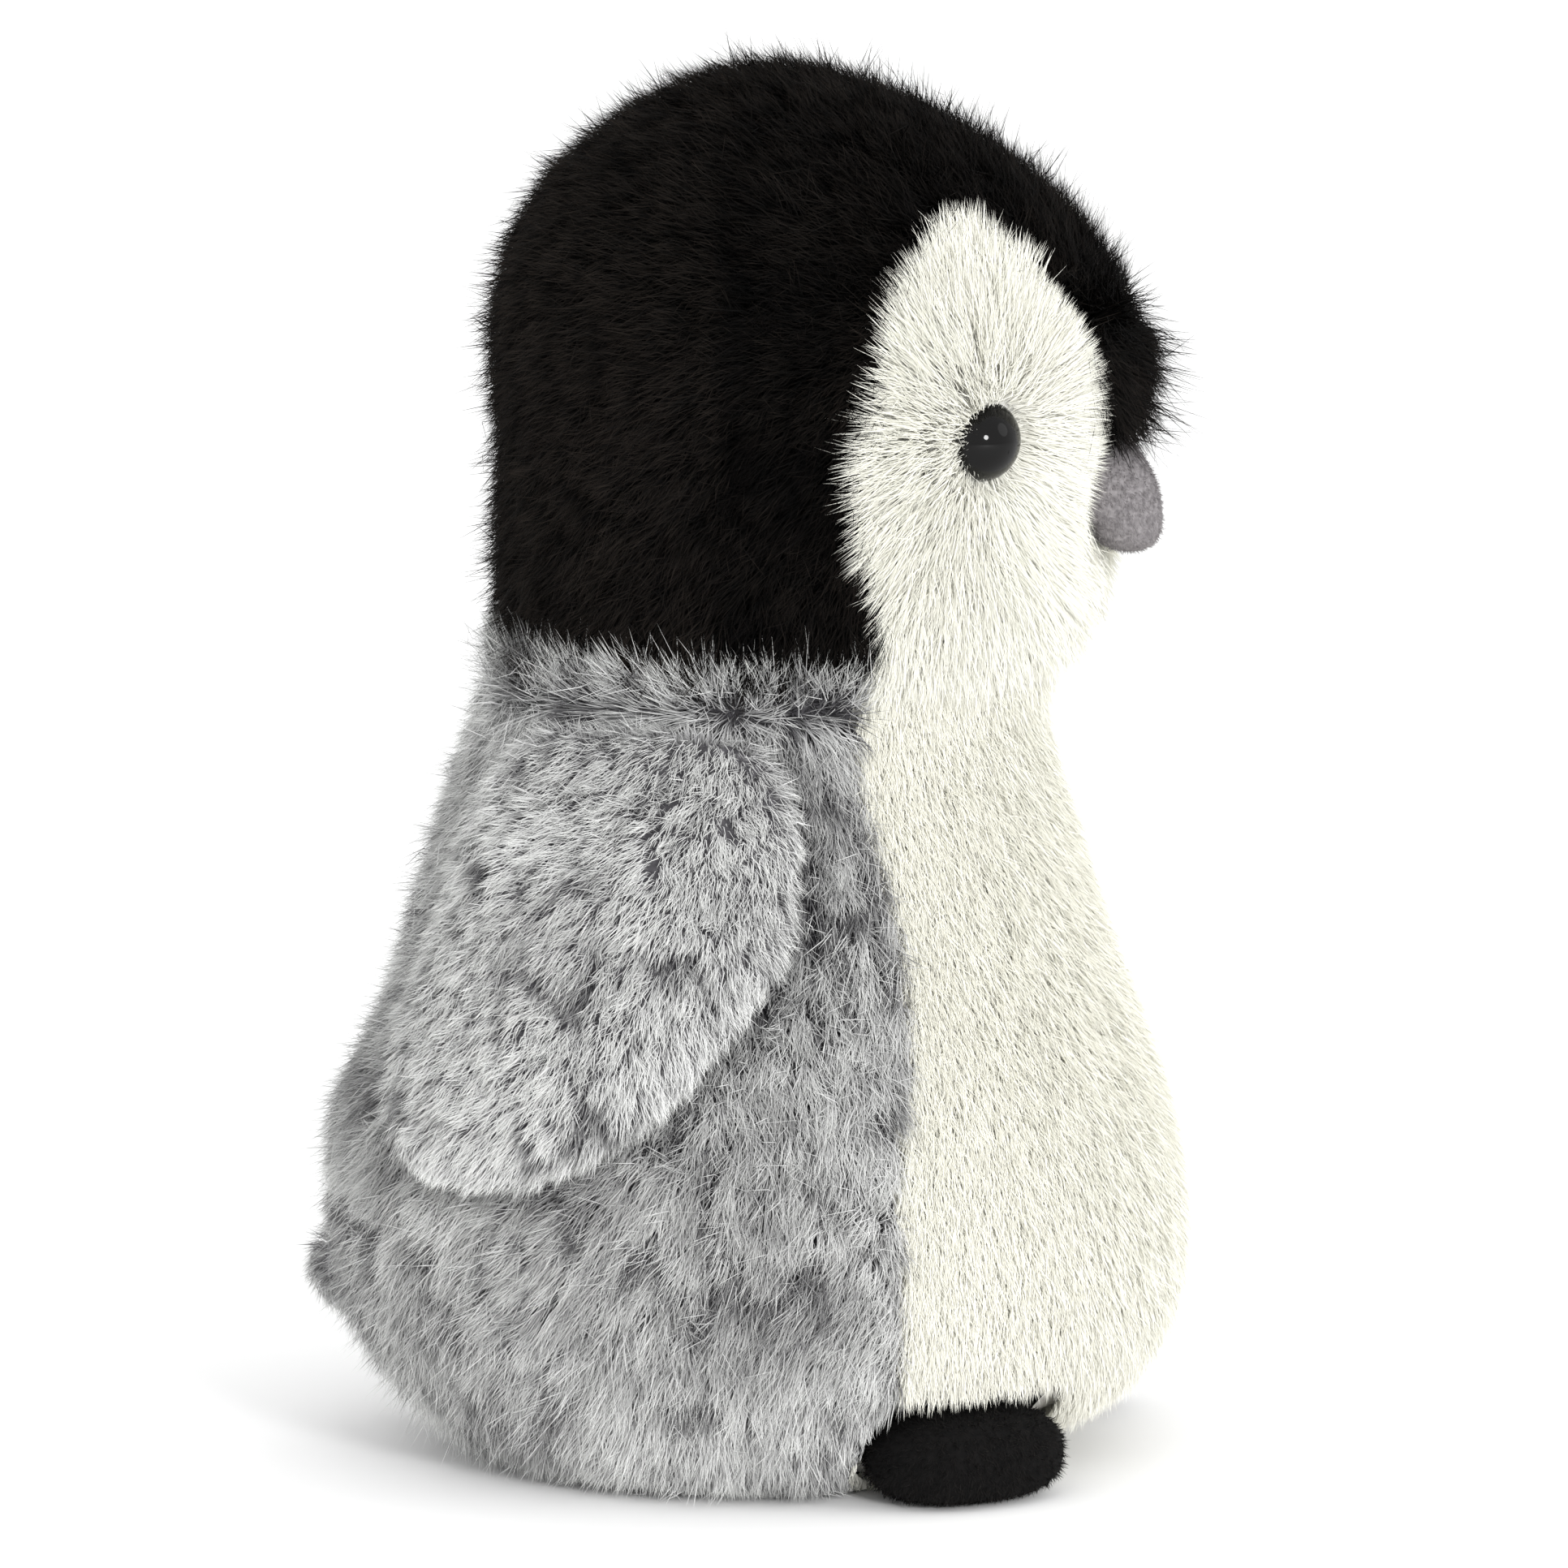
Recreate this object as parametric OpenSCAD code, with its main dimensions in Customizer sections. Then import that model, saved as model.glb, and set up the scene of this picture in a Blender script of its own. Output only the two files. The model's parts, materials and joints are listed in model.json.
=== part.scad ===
// Seated plush penguin: pile panels sewn over fibre filling, moulded eyes, padded wings, feet and tail.
// The bird faces -Y and stands on z = 0. Its left pieces, at +X, are drawn, and the right ones mirror them.
// Surface sizes are those of the pressed pile. The loose tips of the pile stand about 2.5 mm further out.

/* [Body] */
// Height of the crown
total_height = 205.6; // [200:0.2:210]
// Width of the body at its fullest
belly_width = 117; // [110:1:122]
// Depth of the body at its fullest
belly_depth = 126; // [120:1:130]
// Height of the seam between head and body
neck_height = 121; // [119:1:122]
// Thickness of a body or head panel: backing and pressed pile
panel_thickness = 5; // [3:0.5:6]
// Gap left at a seam between two panels
seam_gap = 0.3; // [0.2:0.05:0.5]

/* [Head] */
// Width of the head
head_width = 91; // [86:1:95]
// Depth of the head at the brow
head_depth = 96; // [90:1:100]
// Height of the brow, the head's most forward line
brow_height = 164; // [162:1:166]
// Half width of the black cap's front, between the white patches
gusset_half_width = 22; // [16:0.5:24]
// Height of the top of the white face patches
face_top = 185; // [180:1:188]

/* [Eyes] */
// Diameter of an eye
eye_diameter = 12; // [9:0.5:13]
// How far an eye's dome stands out
eye_dome = 4.6; // [3:0.2:5.5]
// Height of the eyes
eye_height = 154.4; // [152:0.2:158]
// How far round from the front an eye sits, in degrees
eye_turn = 45; // [40:0.5:50]
// How far an eye looks ahead of the skin's own direction, in degrees
eye_ahead = 10; // [0:1:14]
// Radius of an eye's shank
shank_r = 1.6; // [1.2:0.1:2]

/* [Beak] */
// Height of the middle of the beak
beak_height = 144.6; // [142:0.2:147]
// Half width of the beak
beak_half_width = 8.6; // [7:0.2:9.4]
// Half height of the beak
beak_half_height = 8.8; // [7:0.2:9.4]
// How far the beak stands out from the face
beak_length = 9.6; // [8:0.2:12]
// How far the tip of the beak droops
beak_droop = 4.6; // [0:0.2:6]

/* [Wings] */
// Height of the shoulder seam, where a wing hangs
shoulder_height = 113; // [111:0.5:114]
// Height of a wing's tip
wing_tip_height = 48; // [44:1:52]
// Half width of a wing
wing_half_width = 27; // [24:0.5:30]
// Thickness of a wing at its middle
wing_thickness = 12; // [9:0.5:13]

/* [Feet] */
// How far round from the front a foot sits, in degrees
foot_turn = 47; // [44:0.5:49]
// Distance from the body's axis to the middle of a foot
foot_reach = 52; // [51:0.1:53]
// Half length of a foot, heel to toe
foot_half_length = 11; // [9:0.2:11.4]
// Half width of a foot
foot_half_width = 15.4; // [14:0.2:16]
// Thickness of a foot
foot_thickness = 14; // [12:0.5:14]

/* [Tail] */
// Height of the middle of the tail
tail_height = 25; // [22:1:28]
// Half width of the tail
tail_half_width = 9; // [7:0.5:12]
// Half height of the tail
tail_half_height = 5; // [4:0.5:7]
// How far the tail stands out from the rump
tail_length = 3.8; // [3:0.2:8]

/* [Weight] */
// Radius of the pellet pouch
pouch_r = 28; // [24:1:28]
// Height of the top of the pellet pouch
pouch_top = 24; // [18:1:26]

/* [Hidden] */

black_pile = "#141313";
white_pile = "#eeede2";
grey_pile = "#a3a5a4";
beak_grey = "#8c8889";
filling = "#f4f4f0";
lining = "#c9c9c4";

// Moves the whole so that its front and back lie equally far from the origin
centre_shift = -1.6;
// Room between the filling and the backing round it. There is more of it where the skin turns under
// at the base, and where it curves in at the neck.
filling_gap = 0.4;
filling_room_base = 1.4;
filling_room_neck = 0.8;
function filling_inset(z) =
    let (
        base = 1 - ease(z, 8, 30),
        neck = ease(z, 88, 104) * (1 - ease(z, 122, 130))
    )
    panel_thickness + filling_gap + filling_room_base * base + filling_room_neck * neck;

// Section of the pressed pile from the floor to the brow.
// Each row: height, half width, half depth, and how far the section's middle lies forward.
half_w = belly_width / 2;
half_d = belly_depth / 2;
head_w = head_width / 2;
head_d = head_depth / 2;
section_rows = [
    [0, 0.72 * half_w, 0.565 * half_d, 2.5],
    [5, 0.85 * half_w, 0.72 * half_d, -1],
    [8, 0.885 * half_w, 0.81 * half_d, 0.3],
    [13, 0.925 * half_w, 0.895 * half_d, 1.2],
    [24, 0.98 * half_w, 0.985 * half_d, 0.4],
    [39, half_w, half_d, 0],
    [52, 0.98 * half_w, 0.975 * half_d, -0.8],
    [63, 0.93 * half_w, 0.9 * half_d, 0.3],
    [75, 0.86 * half_w, 0.828 * half_d, 0.2],
    [95, 0.77 * half_w, 0.733 * half_d, 0],
    [112, 0.70 * half_w, 0.655 * half_d, 0.6],
    [121, 0.92 * head_w, 0.872 * head_d, 3.4],
    [131, 0.975 * head_w, 0.92 * head_d, 5.7],
    [143, 0.99 * head_w, 0.915 * head_d, 5.9],
    [155, head_w, 0.945 * head_d, 7.2],
    [brow_height, 0.993 * head_w, head_d, 9.2]
];
// Above the brow the head is a dome, squarer than a half ellipse by this power.
dome_power = 1.75;
// How fast the dome's middle moves back with height
dome_lean = 0.17;

// ---- number helpers ----
function mix(a, b, t) = a + (b - a) * t;
function clamp(x, lo, hi) = min(max(x, lo), hi);
function ease(x, lo, hi) = let (t = clamp((x - lo) / (hi - lo), 0, 1)) t * t * (3 - 2 * t);
function unit(v) = v / norm(v);
function flat(rows) = [for (row = rows) each row];
function spread(lo, hi, count) = [for (i = [0 : count]) mix(lo, hi, i / count)];
function signed_power(x, p) = sign(x) * pow(abs(x), p);

// ---- the body's surface ----
function row_slope(i, c) =
    i == len(section_rows) - 1 ? 0 :
    let (before = section_rows[max(i - 1, 0)], after = section_rows[i + 1])
    (after[c] - before[c]) / (after[0] - before[0]);

function row_value(z, c) =
    let (
        i = max([for (k = [0 : len(section_rows) - 2]) if (section_rows[k][0] <= z || k == 0) k]),
        low = section_rows[i],
        high = section_rows[i + 1],
        span = high[0] - low[0],
        t = (z - low[0]) / span,
        flow = ease(t, 0, 1)
    )
    mix(low[c], high[c], flow)
        + span * t * (1 - t) * (row_slope(i, c) * (1 - t) - row_slope(i + 1, c) * t);

// Half width, half depth and forward shift of the section at a height
function section(z) =
    z <= brow_height
    ? [row_value(z, 1), row_value(z, 2), row_value(z, 3)]
    : let (
        last = section_rows[len(section_rows) - 1],
        rise = (z - brow_height) / (total_height - brow_height),
        k = pow(max(1 - pow(rise, dome_power), 0), 1 / dome_power)
    )
    [last[1] * k, last[2] * k, last[3] - dome_lean * (z - brow_height)];

// A point of the surface: turn is in degrees from the front, growing towards the left side
function skin_point(turn, z) =
    let (s = section(z))
    [s[0] * sin(turn), -s[1] * cos(turn) - s[2], z];

function skin_normal(turn, z) =
    let (
        step = 0.4,
        across = skin_point(turn + step, z) - skin_point(turn - step, z),
        up = skin_point(turn, min(z + step, total_height)) - skin_point(turn, max(z - step, 0))
    )
    unit(cross(across, up));

function skin(turn, z, lift) = skin_point(turn, z) + lift * skin_normal(turn, z);

// How far the front or the back of the body lies from the axis
function reach_y(x, z) = let (s = section(z)) s[1] * sqrt(max(1 - pow(x / s[0], 2), 0));
function front_y(x, z) = -reach_y(x, z) - section(z)[2];
function back_y(x, z) = reach_y(x, z) - section(z)[2];

// ---- solids from surfaces ----
// A plate between two grids of points, outer and inner, each a list of columns
module plate(outer, inner) {
    cols = len(outer) - 1;
    rows = len(outer[0]) - 1;
    count = (cols + 1) * (rows + 1);
    function o(i, j) = i * (rows + 1) + j;
    function n(i, j) = count + o(i, j);
    polyhedron(
        points = concat(flat(outer), flat(inner)),
        faces = concat(
            [for (i = [0 : cols - 1], j = [0 : rows - 1]) each [
                [o(i, j), o(i, j + 1), o(i + 1, j + 1)], [o(i, j), o(i + 1, j + 1), o(i + 1, j)],
                [n(i, j), n(i + 1, j + 1), n(i, j + 1)], [n(i, j), n(i + 1, j), n(i + 1, j + 1)]
            ]],
            [for (i = [0 : cols - 1]) each [
                [o(i, 0), o(i + 1, 0), n(i + 1, 0)], [o(i, 0), n(i + 1, 0), n(i, 0)],
                [o(i + 1, rows), o(i, rows), n(i, rows)], [o(i + 1, rows), n(i, rows), n(i + 1, rows)]
            ]],
            [for (j = [0 : rows - 1]) each [
                [o(0, j + 1), o(0, j), n(0, j)], [o(0, j + 1), n(0, j), n(0, j + 1)],
                [o(cols, j), o(cols, j + 1), n(cols, j + 1)], [o(cols, j), n(cols, j + 1), n(cols, j)]
            ]]
        )
    );
}

// A closed solid through rings of points, with a point that closes each end
module loft(rings, first, last) {
    sides = len(rings[0]);
    turns = len(rings);
    start = sides * turns;
    function at(k, i) = k * sides + i % sides;
    polyhedron(
        points = concat(flat(rings), [first, last]),
        faces = concat(
            [for (k = [0 : turns - 2], i = [0 : sides - 1]) each [
                [at(k, i), at(k + 1, i), at(k + 1, i + 1)], [at(k, i), at(k + 1, i + 1), at(k, i + 1)]
            ]],
            [for (i = [0 : sides - 1]) [start, at(0, i), at(0, i + 1)]],
            [for (i = [0 : sides - 1]) [start + 1, at(turns - 1, i + 1), at(turns - 1, i)]]
        )
    );
}

// A panel of the body: spot(i, j) gives the turn and height of each grid point
module panel(cols, rows, spot) {
    function grid(lift) = [for (i = [0 : cols]) [for (j = [0 : rows])
        let (p = spot(i, j)) skin(p[0], p[1], lift)]];
    plate(grid(0), grid(-panel_thickness));
}

// A pad between a low and a high surface, each a function of share of the radius and angle
pad_spokes = 26;
module pad(low, high, reach = 1) {
    shares = [for (s = [0.3, 0.55, 0.75, 0.9, 1]) s * reach];
    function ring(place, share) = [for (i = [0 : pad_spokes - 1]) place(share, 360 * i / pad_spokes)];
    count = len(shares);
    rings = concat(
        [for (s = shares) ring(low, s)],
        [for (k = [1 : count]) ring(high, shares[count - k])]
    );
    loft(rings, low(0, 0), high(0, 0));
}

module in_place() translate([0, centre_shift, 0]) children();
module left() in_place() children();
module right() mirror([1, 0, 0]) in_place() children();

// ---- head panels ----
seam_turn = 0.3;
face_levels = spread(neck_height + seam_gap / 2, face_top, 10);
crown_levels = [189, 193, 197, 200.5, 203, 204.6, 205.3, 205.55];
head_levels = concat(face_levels, crown_levels);
side_seam_turn = 96;

// The gusset comes to a point over the beak and widens between the patches, and both edges of a patch
// close round its top.
gusset_foot = 147;
patch_top_x = 25.5;
function patch_closing(z) =
    let (top = clamp((z - 158) / (face_top + 0.8 - 158), 0, 1))
    1 - sqrt(1 - pow(top, 2.8));
function gusset_turn(z) =
    let (
        between = gusset_half_width * ease(z, gusset_foot, gusset_foot + 17),
        half = mix(between, patch_top_x, patch_closing(z)) * (1 - 0.3 * ease(z, face_top, total_height)),
        full = asin(min(half / max(section(z)[0], 0.1), 1))
    )
    min(full, side_seam_turn - 8);

face_edge_turn = 64;
face_widening = 6;
function face_turn(z) =
    mix(face_edge_turn + face_widening * ease(z, 130, 152), gusset_turn(z), patch_closing(z));

face_cols = 6;
function face_spot(i, j) =
    let (z = face_levels[j], lo = max(gusset_turn(z), 0.001) + seam_turn, hi = face_turn(z) - seam_turn)
    [mix(lo, max(hi, lo + 0.6), i / face_cols), z];

module eye_spot(lift) {
    way = skin_normal(eye_turn, eye_height);
    translate(skin(eye_turn, eye_height, 0))
        rotate([0, acos(way[2]), atan2(way[1], way[0]) - eye_ahead]) translate([0, 0, lift]) children();
}

shank_length = 8;
// How deep an eye sits in the pressed pile
eye_depth = 2;
module face() {
    color(white_pile) difference() {
        panel(face_cols, len(face_levels) - 1, function (i, j) face_spot(i, j));
        eye_spot(-2 * shank_length) cylinder(r = shank_r + 0.2, h = 2 * shank_length, $fn = 40);
        eye_spot(-eye_depth - 0.3) cylinder(r = eye_diameter / 2 + 0.3, h = 10, $fn = 64);
    }
}

gusset_first = 5;
gusset_cols = 8;
gusset_levels = [for (j = [gusset_first : len(head_levels) - 1]) head_levels[j]];
module brow_gusset() {
    color(black_pile) in_place() panel(gusset_cols, len(gusset_levels) - 1, function (i, j)
        let (z = gusset_levels[j], half = max(gusset_turn(z) - seam_turn, 0.4))
        [mix(-half, half, i / gusset_cols), z]);
}

head_side_cols = 5;
module head_side() {
    color(black_pile) panel(head_side_cols, len(head_levels) - 1, function (i, j)
        let (z = head_levels[j], lo = max(face_turn(z), gusset_turn(z)) + seam_turn)
        [mix(lo, side_seam_turn - seam_turn, i / head_side_cols), z]);
}

head_back_cols = 16;
module head_back() {
    color(black_pile) in_place() panel(head_back_cols, len(head_levels) - 1, function (i, j)
        let (from = side_seam_turn + seam_turn) [mix(from, 360 - from, i / head_back_cols), head_levels[j]]);
}

// ---- beak and tail: buds that stand out from the surface ----
// spec: half width, half height, length, droop, height of the middle, front (-1) or back (1)
beak_spec = [beak_half_width, beak_half_height, beak_length, beak_droop, beak_height, -1];
tail_spec = [tail_half_width, tail_half_height, tail_length, 1, tail_height, 1];
bud_gap = 0.4;

// fall is 90 degrees at the root and 0 at the tip, and inset moves the point inwards
function bud_point(spec, fall, around, inset) =
    let (
        x = -spec[5] * (spec[0] - inset) * cos(around) * sin(fall),
        z = spec[4] + (spec[1] - inset) * sin(around) * sin(fall) - spec[3] * cos(fall),
        root = spec[5] < 0 ? front_y(x, z) : back_y(x, z)
    )
    [x, root + spec[5] * (bud_gap + (spec[2] - inset) * cos(fall)), z];

bud_falls = [90, 76, 62, 48, 34, 20, 8, 2];
bud_wall = 1.3;
module bud_half(spec, from, to) {
    cols = 12;
    function grid(inset) = [for (i = [0 : cols]) [for (fall = bud_falls)
        bud_point(spec, fall, mix(from + 1, to - 1, i / cols), inset)]];
    in_place() plate(grid(0), grid(bud_wall));
}

module bud_core(spec, inset) {
    rings = [for (fall = [90, 70, 50, 30, 12]) [for (i = [0 : 15])
        bud_point(spec, fall, 360 * i / 16, inset)]];
    in_place() loft(rings, bud_point(spec, 90, 0, spec[0]), bud_point(spec, 0, 0, inset));
}

// The seam round the beak lies below its middle.
beak_seam = -20;
module beak_upper() color(beak_grey) bud_half(beak_spec, beak_seam, 180 - beak_seam);
module beak_lower() color(beak_grey) bud_half(beak_spec, 180 - beak_seam, 360 + beak_seam);
module beak_stuffing() color(filling) bud_core(beak_spec, bud_wall + 0.3);
module tail() color(grey_pile) bud_core(tail_spec, 0);

// ---- eyes ----
module eye() {
    r = eye_diameter / 2;
    ball = (r * r + eye_dome * eye_dome) / (2 * eye_dome);
    color("#0a0909") eye_spot(-eye_depth) union() {
        intersection() {
            translate([0, 0, eye_dome - ball]) sphere(r = ball, $fn = 64);
            cylinder(r = 2 * r, h = 2 * eye_dome, $fn = 64);
        }
        translate([0, 0, -shank_length]) cylinder(r = shank_r, h = shank_length + 1, $fn = 40);
    }
}

washer_thickness = 1.5;
washer_r = 5.5;
washer_gap = 1.7;
washer_lift = -panel_thickness - washer_gap - washer_thickness;
module eye_washer() {
    color(lining) eye_spot(washer_lift) difference() {
        cylinder(r = washer_r, h = washer_thickness, $fn = 48);
        translate([0, 0, -1]) cylinder(r = shank_r + 0.05, h = washer_thickness + 2, $fn = 40);
    }
}

// ---- body panels ----
body_levels = concat(
    [0, 2.5, 5, 8, 12, 17, 24, 31, 39, 48, 57, 66, 75, 85, 95, 104, 112],
    [neck_height - seam_gap / 2]
);

// Edge between the white belly and the grey side
function belly_turn(z) = 63 - 5.5 * pow(max(1 - pow((z - 80) / 34, 2), 0), 2) + ease(z, 95, 118);

belly_cols = 14;
module belly_panel() {
    color(white_pile) in_place() difference() {
        panel(belly_cols, len(body_levels) - 1, function (i, j)
            let (z = body_levels[j], half = belly_turn(z) - seam_turn) [mix(-half, half, i / belly_cols), z]);
        foot_recesses();
    }
}

// The rump panel closes the low back between these turns, and its top edge is arched.
rump_start = 118;
rump_rise = 42;
rump_steps = 9;
function rump_edge(turn) =
    let (share = clamp((turn - 180) / (180 - rump_start), -1, 1))
    max(rump_rise * pow(1 - share * share, 0.25), 0.2);

// Heights of the rump panel's rows, as shares of its edge
rump_shares = [0, 0.06, 0.12, 0.19, 0.28, 0.4, 0.58, 0.78, 1];

side_turns = spread(0, 1, 7);
rump_turns = [for (t = spread(0, 1, rump_steps)) mix(rump_start, 180, pow(t, 1.8))];
module body_side() {
    last = len(body_levels) - 1;
    top = body_levels[last];
    cols = len(side_turns) + rump_steps - 1;
    function spot(i, j) =
        let (
            level = body_levels[j],
            ahead = i < len(side_turns),
            first = belly_turn(level) + seam_turn,
            turn = ahead ? mix(first, rump_start, side_turns[i]) : rump_turns[i - len(side_turns) + 1],
            foot = turn < rump_start ? 0 : rump_edge(turn) + seam_gap
        )
        [min(turn, 180 - seam_turn), mix(foot, top, level / top)];
    color(grey_pile) difference() {
        panel(cols, last, function (i, j) spot(i, j));
        foot_recesses();
    }
}

module rump_panel() {
    all_turns = concat(rump_turns, [for (k = [1 : rump_steps]) 360 - rump_turns[rump_steps - k]]);
    color(grey_pile) in_place() panel(2 * rump_steps, len(rump_shares) - 1, function (i, j)
        let (turn = clamp(all_turns[i], rump_start + seam_turn, 360 - rump_start - seam_turn))
        [turn, rump_edge(all_turns[i] > 180 ? 360 - all_turns[i] : all_turns[i]) * rump_shares[j]]);
}

base_inset = 3;
base_thickness = 4;
module base_panel() {
    s = section(0);
    color(grey_pile) in_place() difference() {
        translate([0, -s[2], 0]) linear_extrude(height = base_thickness)
            polygon([for (turn = [0 : 7.5 : 352.5])
                [(s[0] - base_inset) * sin(turn), -(s[1] - base_inset) * cos(turn)]]);
        foot_recesses();
    }
}

// ---- filling ----
filling_sides = 28;
module filling_loft(levels) {
    rings = [for (z = levels) [for (i = [0 : filling_sides - 1])
        skin(360 * i / filling_sides, z, -filling_inset(z))]];
    function middle(z) = [0, -section(z)[2], z];
    loft(rings, middle(rings[0][0][2]), middle(rings[len(rings) - 1][0][2]));
}

module head_stuffing() {
    pocket = 7;
    color(filling) in_place() difference() {
        filling_loft([122.5, 131, 143, 155, 164, 174, 183, 191, 197, 201.5]);
        for (side = [0, 1]) mirror([side, 0, 0])
            eye_spot(-shank_length - 4) cylinder(r = washer_r + 0.6, h = pocket, $fn = 40);
    }
}

module body_stuffing() {
    color(filling) in_place() difference() {
        filling_loft([3, 7, 13, 24, 38, 52, 63, 75, 85, 95, 104, 108, 112, 116, 119.5]);
        foot_recesses();
        translate([0, 0, -1]) cylinder(r = pouch_r + 0.6, h = pouch_top + 1.6, $fn = 96);
    }
}

pouch_wall = 1.2;
pouch_bottom = base_thickness + 0.4;
module pellet_pouch() {
    color(lining) in_place() difference() {
        translate([0, 0, pouch_bottom]) cylinder(r = pouch_r, h = pouch_top - pouch_bottom, $fn = 96);
        translate([0, 0, pouch_bottom + pouch_wall])
            cylinder(r = pouch_r - pouch_wall, h = pouch_top - pouch_bottom - 2 * pouch_wall, $fn = 96);
    }
}

module pellet_fill() {
    gap = pouch_wall + 0.2;
    color("#e6e2d8") in_place() translate([0, 0, pouch_bottom + gap])
        cylinder(r = pouch_r - gap, h = pouch_top - pouch_bottom - 2 * gap, $fn = 96);
}

// ---- wings ----
wing_wall = 1.8;
wing_rim = 5;
wing_mid_height = 83;
// Which way a wing faces, in degrees from the front
wing_turn = 103.5;
// How far the wing slants back for each millimetre of height, and how much more below its middle
wing_slant = 0.13;
wing_low_slant = 0.32;
// Gap between the wing and the body, at the shoulder and at the tip
wing_gap_top = 1.3;
wing_gap_tip = 3;

// Place on the wing's outline, as distance back along the body and height
function wing_plan(share, around) =
    let (
        above = sin(around) > 0,
        p = above ? 2 / 4.5 : 2 / 2.3,
        tall = above ? shoulder_height - wing_mid_height : wing_mid_height - wing_tip_height,
        z = wing_mid_height + share * tall * signed_power(sin(around), p),
        half = wing_half_width - 4 * ease(z, wing_mid_height, shoulder_height)
    )
    [
        1 + share * half * signed_power(cos(around), p)
            + wing_slant * (shoulder_height - z) + wing_low_slant * max(wing_mid_height - z, 0),
        z
    ];

// Distance from the axis to the body's surface, along the way the wing faces
wing_out = [sin(wing_turn), -cos(wing_turn)];
wing_along = [cos(wing_turn), sin(wing_turn)];
function wing_reach(back, z) =
    let (
        s = section(z),
        x = back * wing_along[0],
        y = back * wing_along[1] + s[2],
        square = pow(wing_out[0] / s[0], 2) + pow(wing_out[1] / s[1], 2),
        cross_term = x * wing_out[0] / (s[0] * s[0]) + y * wing_out[1] / (s[1] * s[1]),
        rest = pow(x / s[0], 2) + pow(y / s[1], 2) - 1
    )
    (-cross_term + sqrt(max(cross_term * cross_term - square * rest, 0))) / square;

function wing_depth(share, z) =
    let (full = mix(wing_thickness, wing_rim + 0.6, ease(z, 92, shoulder_height)))
    wing_rim + (full - wing_rim) * (1 - pow(share, 3));

// lift is the distance from the wing's inner face, or from its outer face when from_outside is 1
function wing_point(share, around, lift, from_outside) =
    let (
        p = wing_plan(share, around),
        gap = mix(wing_gap_tip, wing_gap_top, (p[1] - wing_tip_height) / (shoulder_height - wing_tip_height)),
        far = wing_reach(p[0], p[1]) + gap + lift + from_outside * wing_depth(share, p[1]),
        plan = far * wing_out + p[0] * wing_along
    )
    [plan[0], plan[1], p[1]];

module wing_layer(low_lift, low_side, high_lift, high_side, reach = 1) {
    pad(
        function (share, around) wing_point(share, around, low_lift, low_side),
        function (share, around) wing_point(share, around, high_lift, high_side),
        reach
    );
}

module wing_inner() color(grey_pile) wing_layer(0, 0, wing_wall, 0);
module wing_outer() color(grey_pile) wing_layer(-wing_wall, 1, 0, 1);
module wing_padding() color(filling) wing_layer(wing_wall + 0.2, 0, -wing_wall - 0.2, 1, 0.92);

// ---- feet ----
foot_wall = 1.5;
foot_rim = 3.4;
foot_seam_height = 6.4;

function foot_place(share, around, room = 0) =
    let (
        p = 2 / 2.5,
        long = foot_half_length + room * (cos(around) > 0 ? 8 : 1),
        ahead = foot_reach + share * long * signed_power(cos(around), p),
        aside = share * (foot_half_width + room) * signed_power(sin(around), p)
    )
    [ahead * sin(foot_turn) + aside * cos(foot_turn), -ahead * cos(foot_turn) + aside * sin(foot_turn)];

// Room under the belly for both feet, and for their lift
foot_room = 1;
recess_height = foot_thickness + 2.8;
module foot_recesses() {
    for (side = [0, 1]) mirror([side, 0, 0]) translate([0, 0, -1]) linear_extrude(height = recess_height + 1)
        polygon([for (i = [0 : pad_spokes - 1]) foot_place(1, 360 * i / pad_spokes, foot_room)]);
}

function foot_low(share) = (foot_seam_height - foot_rim / 2) * (1 - sqrt(1 - pow(share, 3)));
function foot_high(share) =
    let (edge = foot_seam_height + foot_rim / 2)
    edge + (foot_thickness - edge) * sqrt(1 - pow(share, 2.1));
function foot_point(share, around, z) = let (p = foot_place(share, around)) [p[0], p[1], z];

module foot_layer(low, high, reach = 1) {
    pad(
        function (share, around) foot_point(share, around, low(share)),
        function (share, around) foot_point(share, around, high(share)),
        reach
    );
}

module foot_sole() color(black_pile)
    foot_layer(function (s) foot_low(s), function (s) foot_low(s) + foot_wall);
module foot_upper() color(black_pile)
    foot_layer(function (s) foot_high(s) - foot_wall, function (s) foot_high(s));
module foot_stuffing() color(filling)
    foot_layer(function (s) foot_low(s) + foot_wall + 0.3, function (s) foot_high(s) - foot_wall - 0.3, 0.9);

right() face();  // face_right
left() face();  // face_left
brow_gusset();
right() head_side();  // head_side_right
left() head_side();  // head_side_left
head_back();
beak_upper();
beak_lower();
beak_stuffing();
right() eye();  // eye_right
left() eye();  // eye_left
right() eye_washer();  // eye_washer_right
left() eye_washer();  // eye_washer_left
head_stuffing();
belly_panel();
right() body_side();  // body_side_right
left() body_side();  // body_side_left
rump_panel();
base_panel();
body_stuffing();
pellet_pouch();
pellet_fill();
tail();
right() wing_outer();  // wing_outer_right
right() wing_inner();  // wing_inner_right
right() wing_padding();  // wing_padding_right
left() wing_outer();  // wing_outer_left
left() wing_inner();  // wing_inner_left
left() wing_padding();  // wing_padding_left
right() foot_upper();  // foot_upper_right
right() foot_sole();  // foot_sole_right
right() foot_stuffing();  // foot_stuffing_right
left() foot_upper();  // foot_upper_left
left() foot_sole();  // foot_sole_left
left() foot_stuffing();  // foot_stuffing_left
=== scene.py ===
"""Looks of the seated plush penguin.

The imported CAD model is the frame. Every panel of pile becomes a backing with a coat of tapered strands
that grow from the panel's own outer faces, so the coat follows the CAD shape and rides on its CAD body.
The wings, the feet, the beak and the tail are stuffed by cloth simulation, and their coats grow on the
result.
"""

import json
import math

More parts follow.
